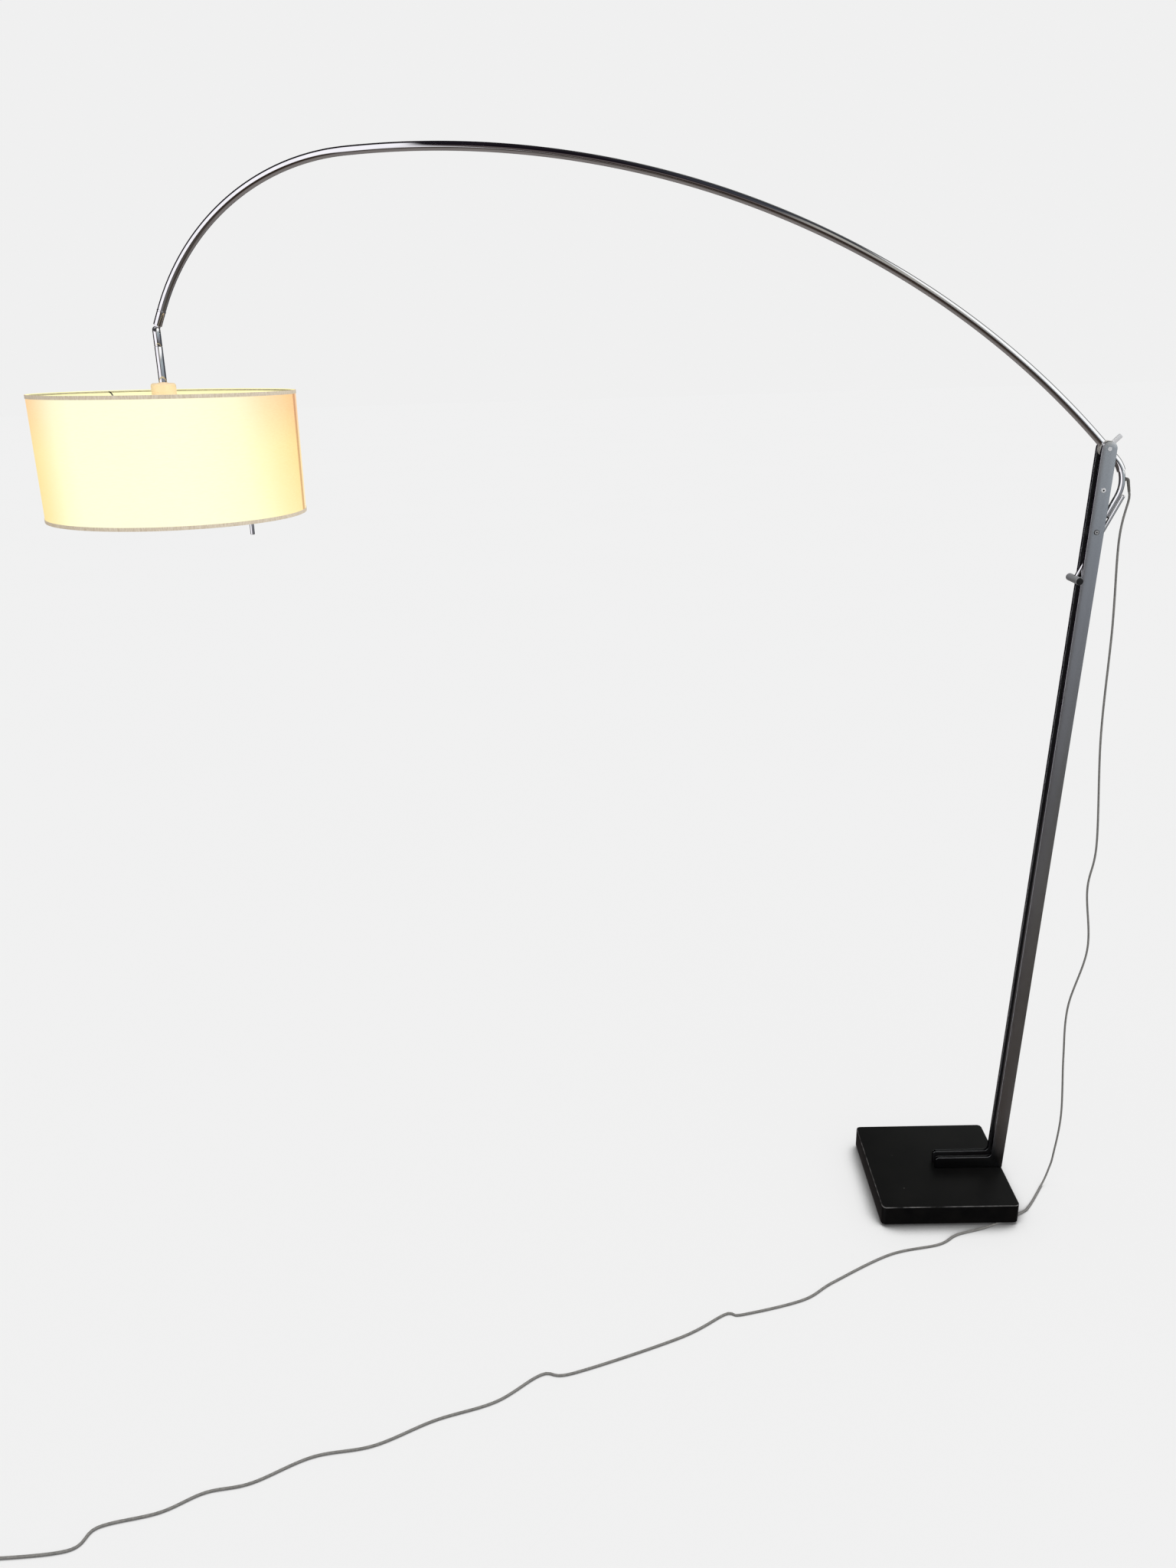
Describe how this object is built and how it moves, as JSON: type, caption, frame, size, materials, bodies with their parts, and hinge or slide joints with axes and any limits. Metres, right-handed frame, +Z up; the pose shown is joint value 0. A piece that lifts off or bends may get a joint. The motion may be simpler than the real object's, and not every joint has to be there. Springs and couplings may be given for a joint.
{
  "type": "arc floor lamp",
  "caption": "Arc floor lamp: a bent chrome tube pivots between two flat uprights on a heavy square plate and carries a tilting fabric drum shade with a pull switch, plus a floor cord.",
  "frame": {"origin": "middle of the underside of the rubber pad, on the floor", "axes": "+Z up; the arm reaches out along -X, with the uprights standing at the +X edge of the plate; every hinge of the arm and shade turns about Y"},
  "size_m": [2.404, 1.2667, 2.3247],
  "materials": {
    "rubber": "matte",
    "black_plate": "satin",
    "grey_paint": "satin",
    "chrome": "polished",
    "satin_steel": "satin",
    "dark_steel": "satin",
    "nylon": "satin",
    "black_plastic": "satin",
    "cream_plastic": "satin",
    "shade_fabric": "matte",
    "shade_trim": "matte",
    "bulb_glass": "satin",
    "cord_grey": "satin"
  },
  "bodies": {
    "stand": {"base_pad": "rubber", "base_plate": "black_plate", "upright_near": "grey_paint", "upright_far": "grey_paint", "foot_bolt_1": "dark_steel", "foot_bolt_2": "dark_steel", "foot_bolt_3": "dark_steel", "foot_bolt_4": "dark_steel", "spacer_tube": "satin_steel", "spacer_screw_near": "chrome", "spacer_screw_far": "chrome", "pivot_pin_near": "satin_steel", "pivot_pin_far": "satin_steel", "brake_screw_near": "dark_steel", "brake_screw_far": "dark_steel", "brake_pad_near": "nylon", "brake_pad_far": "nylon", "cord_hanging": "cord_grey", "cord_floor": "cord_grey", "cord_coil": "cord_grey", "cord_lead": "cord_grey", "plug_body": "black_plastic", "plug_pin_1": "satin_steel", "plug_pin_2": "satin_steel"},
    "arm": {"pivot_hub": "satin_steel", "arc_tube": "chrome", "tail_sleeve": "chrome", "tail_tube": "chrome", "tail_plug": "black_plastic", "cord_grommet": "black_plastic", "lever_rod": "chrome", "cross_handle": "satin_steel", "handle_plug_near": "black_plastic", "handle_plug_far": "black_plastic", "hinge_sleeve": "chrome", "inner_wire": "cord_grey"},
    "lock": {"lock_stud": "chrome"},
    "head": {"hinge_fork": "chrome", "hinge_screw": "dark_steel", "hinge_nut": "dark_steel", "stem_tube": "chrome", "socket_cap": "cream_plastic", "socket_body": "cream_plastic", "bulb_cap": "satin_steel", "bulb_glass": "bulb_glass", "spider_ring": "satin_steel", "shade_nut": "cream_plastic", "spider_arm_1": "satin_steel", "spider_arm_2": "satin_steel", "spider_arm_3": "satin_steel", "top_ring": "satin_steel", "bottom_ring": "satin_steel", "shade_fabric": "shade_fabric", "top_trim": "shade_trim", "bottom_trim": "shade_trim", "switch_box": "cream_plastic"},
    "pull": {"pull_rod": "satin_steel", "pull_knob": "chrome"}
  },
  "joints": [
    {"name": "arm_tilt", "type": "hinge", "parent": "stand", "child": "arm", "pos_m": [0.22028, 0, 1.74589], "axis": [0, 1, 0], "range_deg": [0, 10], "deforming": ["cord_hanging"]},
    {"name": "lock_turn", "type": "hinge", "parent": "arm", "child": "lock", "pos_m": [0.22028, 0, 1.74589], "axis": [0.723, 0, 0.6909], "range_deg": [-90, 90]},
    {"name": "shade_tilt", "type": "hinge", "parent": "arm", "child": "head", "pos_m": [-1.62321, 0, 2.0186], "axis": [0, 1, 0], "range_deg": [-35, 35]},
    {"name": "switch_pull", "type": "slide", "parent": "head", "child": "pull", "axis": [-0.0175, 0, -0.9998], "range_m": [0, 0.005], "stiffness_N_per_m": 300, "springref_m": -0.003}
  ]
}
